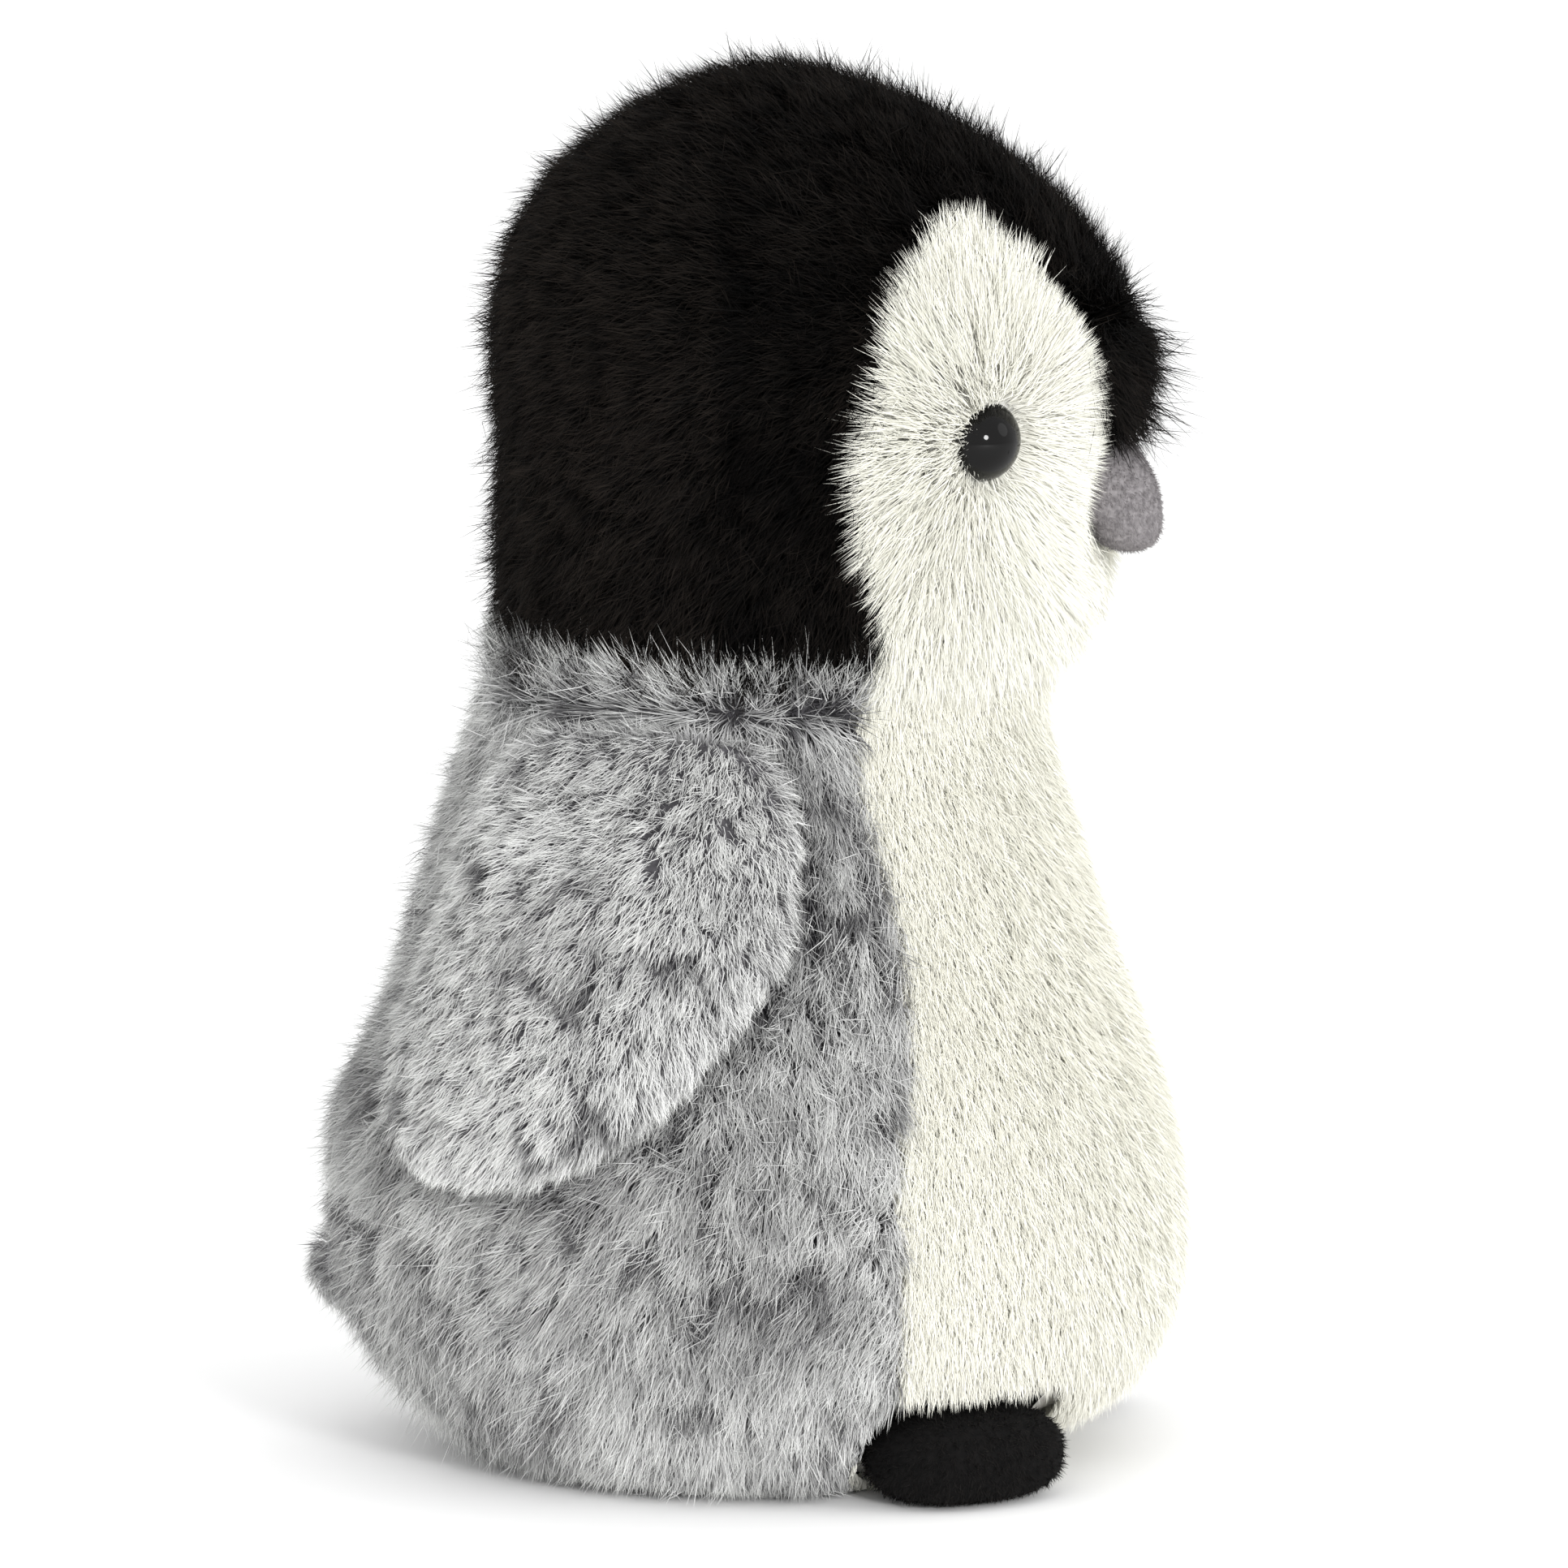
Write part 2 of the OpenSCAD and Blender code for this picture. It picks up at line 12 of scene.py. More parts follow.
import bmesh
import bpy
import numpy as np
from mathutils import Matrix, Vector
from mathutils.bvhtree import BVHTree
from mathutils.kdtree import KDTree


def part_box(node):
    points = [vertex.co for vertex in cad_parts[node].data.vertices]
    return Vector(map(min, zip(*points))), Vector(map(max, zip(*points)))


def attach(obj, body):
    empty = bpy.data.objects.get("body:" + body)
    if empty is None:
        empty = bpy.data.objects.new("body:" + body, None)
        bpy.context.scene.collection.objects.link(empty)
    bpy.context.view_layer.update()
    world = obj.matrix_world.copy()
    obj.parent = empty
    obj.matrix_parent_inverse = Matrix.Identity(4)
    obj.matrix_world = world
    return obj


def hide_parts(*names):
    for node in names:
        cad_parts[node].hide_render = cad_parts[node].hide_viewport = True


MM = 0.001
UV_NAME = "OFBake"
BOTH = ("right", "left")
DOWN = np.array([0.0, 0.0, -1.0])
BACK = np.array([0.0, 1.0, 0.0])

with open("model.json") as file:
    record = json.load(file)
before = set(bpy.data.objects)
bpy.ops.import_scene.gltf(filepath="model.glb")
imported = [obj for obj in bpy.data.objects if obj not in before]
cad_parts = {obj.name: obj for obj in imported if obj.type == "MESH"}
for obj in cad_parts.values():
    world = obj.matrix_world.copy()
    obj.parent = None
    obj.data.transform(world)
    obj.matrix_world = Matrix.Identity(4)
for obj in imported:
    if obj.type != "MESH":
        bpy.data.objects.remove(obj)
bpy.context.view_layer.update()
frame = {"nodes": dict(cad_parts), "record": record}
bodies = frame["record"]["behaviour"]["bodies"]


# ---- reading the CAD nodes ----
def unit(v):
    """Rows of v scaled to length 1."""
    return v / np.maximum(np.linalg.norm(v, axis=-1, keepdims=True), 1e-12)


def points_of(mesh):
    """The places of a mesh's points, in metres."""
    places = np.empty(len(mesh.vertices) * 3)
    mesh.vertices.foreach_get("co", places)
    return places.reshape(-1, 3)


def corners_of(mesh):
    """The numbers of the three points of every triangle of a mesh."""
    mesh.calc_loop_triangles()
    corners = np.empty(len(mesh.loop_triangles) * 3, dtype=np.int32)
    mesh.loop_triangles.foreach_get("vertices", corners)
    return corners.reshape(-1, 3)


def triangles(node):
    """Corners of every triangle of a CAD node, in metres, as an array of shape (count, 3, 3)."""
    mesh = frame["nodes"][node].data
    return points_of(mesh)[corners_of(mesh)]


def tri_normals(tris):
    """The direction that each triangle faces."""
    return unit(np.cross(tris[:, 1] - tris[:, 0], tris[:, 2] - tris[:, 0]))


def tri_areas(tris):
    """The area of each triangle, in square metres."""
    return np.linalg.norm(np.cross(tris[:, 1] - tris[:, 0], tris[:, 2] - tris[:, 0]), axis=1) / 2


# A ray starts this many millimetres off its triangle, so as not to hit it
RAY_START = 0.05
# How far over an outer face nothing else of the toy stands
CLEAR_ABOVE = 12 * MM
# How many points smooth_normals takes at a time, to spare memory
BATCH = 2000


def outer_triangles(node, blockers, heart):
    """The triangles of a node's outer face.

    They look away from heart, and nothing stands within CLEAR_ABOVE over them.
    """
    tris = triangles(node)
    middles = tris.mean(axis=1)
    normals = tri_normals(tris)
    keep = []
    for middle, normal in zip(middles, normals):
        away = np.dot(normal, middle - heart) > 0
        start = Vector(middle + normal * RAY_START * MM)
        hit = blockers.ray_cast(start, Vector(normal), CLEAR_ABOVE)[0]
        keep.append(away and hit is None)
    return tris[np.array(keep)]


def ray_tree(nodes):
    """A tree for ray casts against all these CAD nodes."""
    tris = np.concatenate([triangles(n) for n in nodes])
    count = len(tris)
    return BVHTree.FromPolygons(
        [Vector(p) for p in tris.reshape(-1, 3)],
        [(3 * i, 3 * i + 1, 3 * i + 2) for i in range(count)],
    )


def smooth_normals(points, tris, reach):
    """At each point, the mean normal of the triangles within about reach, so that seams don't show."""
    middles = tris.mean(axis=1)
    weighted = tri_normals(tris) * tri_areas(tris)[:, None]
    out = np.empty_like(points)
    for first in range(0, len(points), BATCH):
        part = points[first:first + BATCH]
        gap = np.linalg.norm(part[:, None] - middles[None], axis=2)
        out[first:first + BATCH] = np.exp(-((gap / reach) ** 2)) @ weighted
    return unit(out)


# ---- meshes ----
def mesh_object(name, points, faces, corner_uv=None):
    """A mesh object from arrays. faces is a list of arrays, one for each number of corners."""
    mesh = bpy.data.meshes.new(name)
    mesh.vertices.add(len(points))
    mesh.vertices.foreach_set("co", np.asarray(points, dtype=np.float32).ravel())
    corners = np.concatenate([f.ravel() for f in faces]).astype(np.int32)
    totals = np.concatenate([np.full(len(f), f.shape[1]) for f in faces]).astype(np.int32)
    starts = np.concatenate([[0], np.cumsum(totals)[:-1]]).astype(np.int32)
    mesh.loops.add(len(corners))
    mesh.loops.foreach_set("vertex_index", corners)
    mesh.polygons.add(len(totals))
    mesh.polygons.foreach_set("loop_start", starts)
    mesh.polygons.foreach_set("loop_total", totals)
    mesh.polygons.foreach_set("use_smooth", np.ones(len(totals), dtype=bool))
    mesh.update()
    if corner_uv is not None:
        layer = mesh.uv_layers.new(name=UV_NAME)
        layer.data.foreach_set("uv", corner_uv[corners].astype(np.float32).ravel())
    made = bpy.data.objects.new(name, mesh)
    bpy.context.scene.collection.objects.link(made)
    return made


# ---- materials ----
def new_material(name, roughness, specular=0.3):
    """A material with its nodes, its Principled shader and that shader's settings."""
    material = bpy.data.materials.new(name)
    material.use_nodes = True
    nodes = material.node_tree.nodes
    shader = nodes["Principled BSDF"]
    shader.inputs["Roughness"].default_value = roughness
    shader.inputs["Specular IOR Level"].default_value = specular
    return material, nodes, material.node_tree.links, shader


def ramp(nodes, links, factor, stops):
    """A colour ramp driven by factor. stops: list of (position, colour)."""
    node = nodes.new("ShaderNodeValToRGB")
    elements = node.color_ramp.elements
    while len(elements) < len(stops):
        elements.new(0.5)
    for element, (position, colour) in zip(elements, stops):
        element.position = position
        element.color = (*colour, 1)
    links.new(factor, node.inputs["Fac"])
    return node.outputs["Color"]


def pile_material(name, dark, light, roughness, specular=0.3):
    """Pile, whose colour runs along each strand.

    dark and light are each a list of (share of the strand, colour), mixed by the strand's own shade.
    """
    material, nodes, links, shader = new_material(name, roughness, specular)
    place = nodes.new("ShaderNodeUVMap")
    place.uv_map = UV_NAME
    split = nodes.new("ShaderNodeSeparateXYZ")
    links.new(place.outputs["UV"], split.inputs["Vector"])
    shade, along = split.outputs["X"], split.outputs["Y"]
    mix = nodes.new("ShaderNodeMix")
    mix.data_type = "RGBA"
    links.new(shade, mix.inputs["Factor"])
    links.new(ramp(nodes, links, along, dark), mix.inputs["A"])
    links.new(ramp(nodes, links, along, light), mix.inputs["B"])
    links.new(mix.outputs["Result"], shader.inputs["Base Color"])
    return material


def speckle(nodes, links, shader, scale, detail, stops):
    """Colours a shader by noise. stops: list of (noise, colour)."""
    place = nodes.new("ShaderNodeTexCoord")
    noise = nodes.new("ShaderNodeTexNoise")
    noise.inputs["Scale"].default_value = scale
    noise.inputs["Detail"].default_value = detail
    links.new(place.outputs["Object"], noise.inputs["Vector"])
    links.new(ramp(nodes, links, noise.outputs["Fac"], stops), shader.inputs["Base Color"])


def cloth_material(name, low, high, scale):
    """Backing, felt or lining: two close colours mixed by fine noise."""
    material, nodes, links, shader = new_material(name, 0.95, 0.15)
    speckle(nodes, links, shader, scale, 4, [(0.35, low), (0.65, high)])
    return material


def plain_material(name, colour, roughness, specular):
    """A smooth moulded finish, with a trace of noise in its colour."""
    material, nodes, links, shader = new_material(name, roughness, specular)
    darker = tuple(0.85 * part for part in colour)
    speckle(nodes, links, shader, 300, 2, [(0.3, darker), (0.7, colour)])
    return material


PILE = {
    "face": pile_material(
        "face_pile",
        dark=[(0.0, (0.80, 0.79, 0.72)), (0.5, (0.83, 0.82, 0.75)), (1.0, (0.85, 0.84, 0.77))],
        light=[(0.0, (0.83, 0.82, 0.75)), (0.5, (0.87, 0.865, 0.79)), (1.0, (0.89, 0.885, 0.81))],
        roughness=0.9,
    ),
    "belly": pile_material(
        "belly_pile",
        dark=[(0.0, (0.84, 0.825, 0.75)), (0.5, (0.89, 0.88, 0.80)), (1.0, (0.92, 0.91, 0.83))],
        light=[(0.0, (0.87, 0.86, 0.78)), (0.5, (0.92, 0.91, 0.83)), (1.0, (0.95, 0.94, 0.86))],
        roughness=0.95,
    ),
    # The black pile's light colours run to brownish tips: painted glints and sheen on the cap, while the
    # shader's own specular is kept low.
    "black": pile_material(
        "black_pile",
        dark=[(0.0, (0.001, 0.001, 0.001)), (0.6, (0.002, 0.002, 0.002)), (1.0, (0.004, 0.0035, 0.0035))],
        light=[(0.0, (0.002, 0.002, 0.002)), (0.6, (0.006, 0.0055, 0.005)), (1.0, (0.036, 0.029, 0.024))],
        roughness=0.55,
        specular=0.03,
    ),
    "grey": pile_material(
        "grey_pile",
        dark=[(0.0, (0.02, 0.019, 0.022)), (0.5, (0.05, 0.048, 0.054)), (1.0, (0.22, 0.218, 0.22))],
        light=[(0.0, (0.16, 0.157, 0.165)), (0.5, (0.64, 0.64, 0.64)), (1.0, (0.94, 0.95, 0.92))],
        roughness=0.85,
    ),
    "beak": pile_material(
        "beak_nap",
        dark=[(0.0, (0.12, 0.11, 0.115)), (1.0, (0.20, 0.185, 0.19))],
        light=[(0.0, (0.18, 0.17, 0.175)), (1.0, (0.36, 0.34, 0.34))],
        roughness=0.9,
    ),
    "felt": pile_material(
        "black_felt_nap",
        dark=[(0.0, (0.002, 0.002, 0.002)), (1.0, (0.005, 0.0045, 0.0045))],
        light=[(0.0, (0.004, 0.0035, 0.0035)), (1.0, (0.028, 0.025, 0.023))],
        roughness=0.8,
        specular=0.10,
    ),
}
BACKING = {
    "face": cloth_material("face_backing", (0.86, 0.85, 0.83), (0.93, 0.92, 0.90), 600),
    "belly": cloth_material("belly_backing", (0.86, 0.84, 0.79), (0.92, 0.90, 0.85), 600),
    "black": cloth_material("black_backing", (0.002, 0.002, 0.002), (0.004, 0.004, 0.004), 600),
    "grey": cloth_material("grey_backing", (0.06, 0.058, 0.064), (0.12, 0.116, 0.125), 600),
    "beak": cloth_material("beak_cloth", (0.15, 0.14, 0.145), (0.26, 0.245, 0.25), 1200),
    "felt": cloth_material("black_felt", (0.002, 0.002, 0.002), (0.005, 0.0045, 0.0045), 900),
    "base": cloth_material("base_cloth", (0.34, 0.34, 0.34), (0.55, 0.55, 0.54), 500),
}


# ---- coats ----
# Lengths are in millimetres, and density is in strands to the mm2. rise and lay say how far a strand
# stands off the cloth at its root and at its tip, from 0 (flat along the lie of the coat) to 1 (straight
# out). sink is how far the roots lie below the CAD surface, which stands for pressed pile. width is that of
# a strand at its root. clump is the spacing of tufts, pull is how far their tips gather, and stray is how
# far a strand leans at random. The last setting of a coat says how much darker its strands are painted in
# bands where the coat parts: painted shade. A guard coat is a thin one of long strands that stand past the
# rest.
COATS = {
    "face": dict(pile="face", density=9.5, length=10.5, rise=0.66, lay=0.28, sink=3.0, width=0.18,
                 clump=2.4, pull=0.26, stray=0.14, streaks=0.05),
    "belly": dict(pile="belly", density=12.0, length=6.0, rise=0.75, lay=0.30, sink=3.0, width=0.17,
                  clump=1.6, pull=0.10, stray=0.13, streaks=0.0),
    "black": dict(pile="black", density=5.5, length=8.5, rise=0.78, lay=0.34, sink=3.6, width=0.19,
                  clump=2.8, pull=0.40, stray=0.22, streaks=0.1),
    "grey": dict(pile="grey", density=6.5, length=8.5, rise=0.74, lay=0.34, sink=3.4, width=0.18,
                 clump=2.4, pull=0.45, stray=0.20, streaks=1.5),
    "wing": dict(pile="grey", density=7.0, length=6.0, rise=0.76, lay=0.38, sink=1.0, width=0.18,
                 clump=2.2, pull=0.42, stray=0.18, streaks=1.0),
    "base": dict(pile="grey", density=2.5, length=3.0, rise=0.40, lay=0.20, sink=0.5, width=0.20,
                 clump=2.0, pull=0.30, stray=0.25, streaks=0.1),
    "beak": dict(pile="beak", density=14.0, length=1.5, rise=0.55, lay=0.30, sink=0.5, width=0.12,
                 clump=1.0, pull=0.25, stray=0.30, streaks=0.0),
    "felt": dict(pile="felt", density=9.0, length=1.9, rise=0.50, lay=0.28, sink=0.4, width=0.13,
                 clump=1.0, pull=0.20, stray=0.40, streaks=0.5),
    "black_guard": dict(pile="black", density=0.4, length=11.5, rise=0.85, lay=0.55, sink=3.6, width=0.15,
                        clump=4.5, pull=0.65, stray=0.25, streaks=0.0),
    "grey_guard": dict(pile="grey", density=0.5, length=11.0, rise=0.86, lay=0.55, sink=3.4, width=0.14,
                       clump=4.0, pull=0.50, stray=0.28, streaks=0.2),
}
# No strand and no backing comes nearer to the floor than this
FLOOR_GAP = 0.3 * MM
# A coat with more strands than this is cut into parts
MOST_STRANDS = 60000
# A strand that is trimmed to less than this share of its length is left out
SHORTEST_SHARE = 0.02
# A strand's shade varies in broad and in fine patches, from tuft to tuft and from strand to strand
BROAD_PATCHES = 0.22
FINE_PATCHES = 0.12
TUFT_VARIETY = 0.10
STRAND_VARIETY = 0.12
# The size of each kind of patch, of the ridges where a coat is painted darker as it parts, and of the
# places that have any, in mm
BROAD_SIZE = 9
FINE_SIZE = 3.5
RIDGE_SIZE = 3.2
PARTED_SIZE = 6
# Ridges run up and down: this squeezes height, so that they come out long
RIDGE_STRETCH = np.array([1.0, 1.0, 0.32])
# How much of a wave's height, on each side of zero, a ridge takes up
RIDGE_WIDTH = 0.24


def scatter(tris, corner_normals, density, rng):
    """Roots spread evenly over triangles, with smooth normals there. density is in strands to the mm2."""
    areas = tri_areas(tris)
    count = int(areas.sum() / MM**2 * density)
    pick = rng.choice(len(tris), size=count, p=areas / areas.sum())
    a, b = rng.random(count), rng.random(count)
    over = a + b > 1
    a[over], b[over] = 1 - a[over], 1 - b[over]
    share = np.stack([1 - a - b, a, b], axis=1)
    roots = np.einsum("nk,nkc->nc", share, tris[pick])
    normals = unit(np.einsum("nk,nkc->nc", share, corner_normals[pick]))
    return roots, normals


def tufts_of(roots, coat, rng):
    """For each root, the number of the strand in the middle of its tuft."""
    count = len(roots)
    in_a_tuft = coat["density"] * coat["clump"] ** 2
    tufts = rng.choice(count, size=max(int(count / in_a_tuft), 1), replace=False)
    tree = KDTree(len(tufts))
    for tuft in tufts:
        tree.insert(Vector(roots[tuft]), int(tuft))
    tree.balance()
    return np.fromiter((tree.find(Vector(p))[1] for p in roots), dtype=np.int64, count=count)


def waves(points, scale, phase):
    """Smooth made-up variation over space, about -1 to 1. scale is the size of a patch in millimetres."""
    p = points / (scale * MM)
    return (
        np.sin(p[:, 0] * 2.1 + 1.3 * np.sin(p[:, 2] * 1.1 + phase) + phase)
        + np.sin(p[:, 1] * 1.7 + 1.1 * np.sin(p[:, 0] * 1.3 - phase) + 2 * phase)
        + np.sin(p[:, 2] * 1.9 + 1.2 * np.sin(p[:, 1] * 0.9 + phase) - phase)
    ) / 3


def along_surface(direction, up):
    """The part of direction that lies along the surface, at length 1."""
    return unit(direction - up * np.sum(direction * up, axis=1, keepdims=True))


def strand_mesh(name, points, shade, pile):
    """A mesh of ribbons. points: 5 to a strand, two at the root, two in the middle and one at the tip.

    The map has a strand's shade across it and the place along the strand up it.
    """
    count = len(points)
    uv = np.empty((count, 5, 2))
    uv[:, :, 0] = shade[:, None] + np.array([-0.02, 0.02, -0.02, 0.02, 0])
    uv[:, :, 1] = np.array([0.01, 0.01, 0.5, 0.5, 0.99])
    first_corner = 5 * np.arange(count)[:, None]
    quads = first_corner + np.array([0, 1, 3, 2])
    ends = first_corner + np.array([2, 3, 4])
    made = mesh_object(name, points.reshape(-1, 3), [quads, ends], uv.reshape(-1, 2))
    made.data.materials.append(PILE[pile])
    return made


def grow(name, body, kind, skin, lie, tone, seed, trim=None):
    """Grows a coat on a skin, a pair of triangles and their corner normals. The coat rides on a body.

    lie(roots) gives the way the coat lies, tone is its mean shade from 0, dark, to 1, light, and
    trim(roots) gives a share of the length, a change of tone and a push on the lie for each root. The seed
    is that of the random draws.
    """
    rng = np.random.default_rng(seed)
    coat = COATS[kind]
    roots, up = scatter(*skin, coat["density"], rng)
    share, change, push = trim(roots) if trim else (1.0, 0.0, 0.0)
    keep = np.broadcast_to(share, len(roots)) > SHORTEST_SHARE
    roots, up = roots[keep], up[keep]
    share = np.broadcast_to(share, len(keep))[keep]
    change = np.broadcast_to(change, len(keep))[keep]
    push = np.broadcast_to(push, (len(keep), 3))[keep]
    count = len(roots)

    flow = along_surface(lie(roots) + push, up)
    length = (coat["length"] * MM * rng.uniform(0.75, 1.1, count) * share)[:, None]
    stray = coat["stray"] * rng.normal(size=(count, 3))
    start = roots - up * (coat["sink"] * MM * np.minimum(share, 1))[:, None]
    first = unit(up * coat["rise"] + flow * (1 - coat["rise"]) + stray)
    second = unit(up * coat["lay"] + flow * (1 - coat["lay"]) + 1.5 * stray)
    middle = start + first * length * 0.5
    tip = middle + second * length * 0.5
    tuft = tufts_of(roots, coat, rng)
    strength = np.clip(coat["pull"] * rng.uniform(0.4, 1.3, count), 0, 0.95)[:, None]
    shift = strength * (tip[tuft] - tip)
    middle, tip = middle + 0.35 * shift, tip + shift

    side = unit(np.cross(tip - start, up))
    twist = rng.uniform(-0.7, 0.7, count)[:, None]
    side = unit(side * np.cos(twist) + up * np.sin(twist))
    half = side * (coat["width"] * MM / 2 * rng.uniform(0.7, 1.3, count))[:, None]
    points = np.stack([start - half, start + half, middle - 0.85 * half, middle + 0.85 * half, tip], axis=1)
    points[..., 2] = np.maximum(points[..., 2], FLOOR_GAP)

    broad = BROAD_PATCHES * waves(roots, BROAD_SIZE, seed)
    fine = FINE_PATCHES * waves(roots, FINE_SIZE, seed + 1)
    # ridges and parted mark where the strands are darkened: painted shade of the coat's partings
    ridges = 1 - np.abs(waves(roots * RIDGE_STRETCH, RIDGE_SIZE, seed + 2)) / RIDGE_WIDTH
    parted = np.clip(0.5 + 1.4 * waves(roots, PARTED_SIZE, seed + 3), 0, 1)
    shade = tone + broad + fine + change - coat["streaks"] * (np.clip(ridges, 0, 1) * parted)
    shade = shade + TUFT_VARIETY * rng.normal(size=count)[tuft]
    shade = shade + STRAND_VARIETY * rng.normal(size=count)
    shade = np.clip(shade, 0.03, 0.97)

    parts = math.ceil(count / MOST_STRANDS)
    order = np.argsort(roots[:, 0], kind="stable")
    for part, rows in enumerate(np.array_split(order, parts), 1):
        label = f"coat_{name}_{part}" if parts > 1 else f"coat_{name}"
        strands = strand_mesh(label, points[rows], shade[rows], coat["pile"])
        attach(strands, body)


# ---- skins ----
# How far neighbouring backings overlap at their seam, and how near two points are welded into one
SEAM_OVERLAP = 0.6 * MM
WELD_DISTANCE = 0.01 * MM
# How far the cloth simulation may move a point, and how many frames it runs
MOST_CHANGE = 0.8 * MM
LAST_FRAME = 20


def widen(cloth, width):
    """Moves the open edges of a bmesh outwards, so that neighbouring panels overlap at their seam."""
    steps = {}
    for edge in cloth.edges:
        if edge.is_boundary:
            first, second = edge.verts[0].co, edge.verts[1].co
            along = (second - first).normalized()
            out = (first + second) / 2 - edge.link_faces[0].calc_center_median()
            out = (out - along * out.dot(along)).normalized()
            for corner in edge.verts:
                steps[corner] = steps.get(corner, Vector()) + out
    for corner, step in steps.items():
        corner.co += step.normalized() * width


def backing(name, body, skin, depth, pile, nodes):
    """The cloth under a coat, a depth in millimetres below its skin. It stands for CAD nodes."""
    tris, normals = skin
    points = (tris - normals * depth * MM).reshape(-1, 3)
    points[:, 2] = np.maximum(points[:, 2], FLOOR_GAP)
    made = mesh_object(name, points, [np.arange(len(points)).reshape(-1, 3)])
    weld = bmesh.new()
    weld.from_mesh(made.data)
    bmesh.ops.remove_doubles(weld, verts=weld.verts, dist=WELD_DISTANCE)
    widen(weld, SEAM_OVERLAP)
    weld.to_mesh(made.data)
    weld.free()
    made.data.materials.append(BACKING[pile])
    finish_cloth(made, body, nodes)


def finish_cloth(made, body, nodes):
    """Attaches a piece to its body and hides the CAD nodes that it stands for."""
    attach(made, body)
    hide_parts(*nodes)


def pillow(name, body, nodes, voxel, pressure, pile):
    """A stuffed piece: the nodes' outline filled by air pressure as cloth. Returns its skin.

    voxel, in millimetres, is the size of the even faces that the outline is first rebuilt with.
    """
    tris = np.concatenate([triangles(n) for n in nodes])
    made = mesh_object(name, tris.reshape(-1, 3), [np.arange(3 * len(tris)).reshape(-1, 3)])
    bpy.context.view_layer.objects.active = made
    remesh = made.modifiers.new("even", "REMESH")
    remesh.mode = "VOXEL"
    remesh.voxel_size = voxel * MM
    apply_modifiers(made)
    rest = points_of(made.data)
    blow_up(made, pressure)
    limit_change(made, rest, MOST_CHANGE)
    smooth = made.modifiers.new("smooth", "CORRECTIVE_SMOOTH")
    smooth.use_only_smooth = True
    smooth.iterations = 6
    apply_modifiers(made)
    for face in made.data.polygons:
        face.use_smooth = True
    made.data.materials.clear()
    made.data.materials.append(BACKING[pile])
    finish_cloth(made, body, nodes)
    return mesh_triangles(made.data)


def apply_modifiers(made):
    """Makes the modified mesh the object's own."""
    depsgraph = bpy.context.evaluated_depsgraph_get()
    mesh = bpy.data.meshes.new_from_object(made.evaluated_get(depsgraph))
    made.modifiers.clear()
    made.data = mesh


def blow_up(made, pressure):
    """Runs the cloth simulation: the piece fills and its cloth creases at the rim."""
    cloth = made.modifiers.new("cloth", "CLOTH")
    settings = cloth.settings
    settings.use_pressure = True
    settings.uniform_pressure_force = pressure
    settings.effector_weights.gravity = 0
    settings.tension_stiffness = 40
    settings.compression_stiffness = 5
    settings.shear_stiffness = 10
    settings.bending_stiffness = 0.3
    settings.mass = 0.3
    cloth.point_cache.frame_start = 1
    cloth.point_cache.frame_end = LAST_FRAME
    scene = bpy.context.scene
    for number in range(1, LAST_FRAME + 1):
        scene.frame_set(number)
    apply_modifiers(made)
    scene.frame_set(1)


def limit_change(made, rest, most):
    """Keeps each point within a distance of where it was before the simulation."""
    step = points_of(made.data) - rest
    far = np.linalg.norm(step, axis=1, keepdims=True)
    share = np.minimum(1, most / np.maximum(far, 1e-9))
    made.data.vertices.foreach_set("co", (rest + step * share).ravel())


def mesh_triangles(mesh):
    """A finished mesh as a skin."""
    corners = corners_of(mesh)
    normals = np.empty(len(mesh.vertices) * 3)
    mesh.vertices.foreach_get("normal", normals)
    return points_of(mesh)[corners], normals.reshape(-1, 3)[corners]


# ---- the lie of the coat ----
beak_box = np.array([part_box("beak_upper")[0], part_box("beak_upper")[1]])
beak_root = np.array([0.0, beak_box[1, 1], beak_box[:, 2].mean()])
head_middle = np.array([0.0, 0.0, 0.155])
# How many corners make up the front of an eye's dome
DOME_CORNERS = 60
# Heights in metres at which a coat changes its lie or its length
FOOT_TOP = 0.0165
COLLAR = 0.110
UNDER_WING = 0.115
NAPE = 0.125
CAP_EDGE = 0.132
CHIN = 0.134
PATCH_PEAK = 0.168
BROW_END = 0.170
BESIDE_BROW = 0.176
BROW = 0.178


def eye_top(side):
    """The front of an eye's dome: the mean of its corners that are farthest from the head's middle."""
    corners = triangles(f"eye_{side}").reshape(-1, 3)
    farthest_first = np.argsort(-np.linalg.norm(corners - head_middle, axis=1))
    return corners[farthest_first[:DOME_CORNERS]].mean(axis=0)


eye_tops = {side: eye_top(side) for side in BOTH}


def above(roots, height, over):
    """0 up to a height, rising to 1 over a distance above it."""
    return np.clip((roots[:, 2] - height) / over, 0, 1)


def below(roots, height, over):
    """0 down to a height, rising to 1 over a distance below it."""
    return np.clip((height - roots[:, 2]) / over, 0, 1)


def lie_from_beak(roots):
    """Away from the beak's root on every side."""
    return unit(roots - beak_root)


def lie_from_eyes(roots):
    """Away from the nearer eye on every side, as on the face."""
    nearer = np.where(roots[:, :1] < 0, eye_tops["right"], eye_tops["left"])
    return unit(roots - nearer)


def lie_back(roots):
    """Back over the crown and down the nape, as on the black cap."""
    height = above(roots, NAPE, 0.06)[:, None]
    return unit(BACK * (0.35 + height) + DOWN * (1.2 - height))


def lie_brow(roots):
    """Forward and down over the brow, then back over the crown."""
    brow = below(roots, BROW, 0.02)[:, None]
    return unit(BACK * (0.8 - 1.4 * brow) - DOWN * 0.2 * (1 - brow) + DOWN * 0.8 * brow)


def lie_down(roots):
    """Down and a little back, swinging back and forth from place to place, as on the grey coat."""
    swing = 0.2 + 0.55 * waves(roots, scale=16, phase=3)
    return unit(DOWN + swing[:, None] * BACK)


def lie_outwards(roots):
    """Away from the middle, as under the base."""
    return unit(roots * np.array([1.0, 1.0, 0.0]))


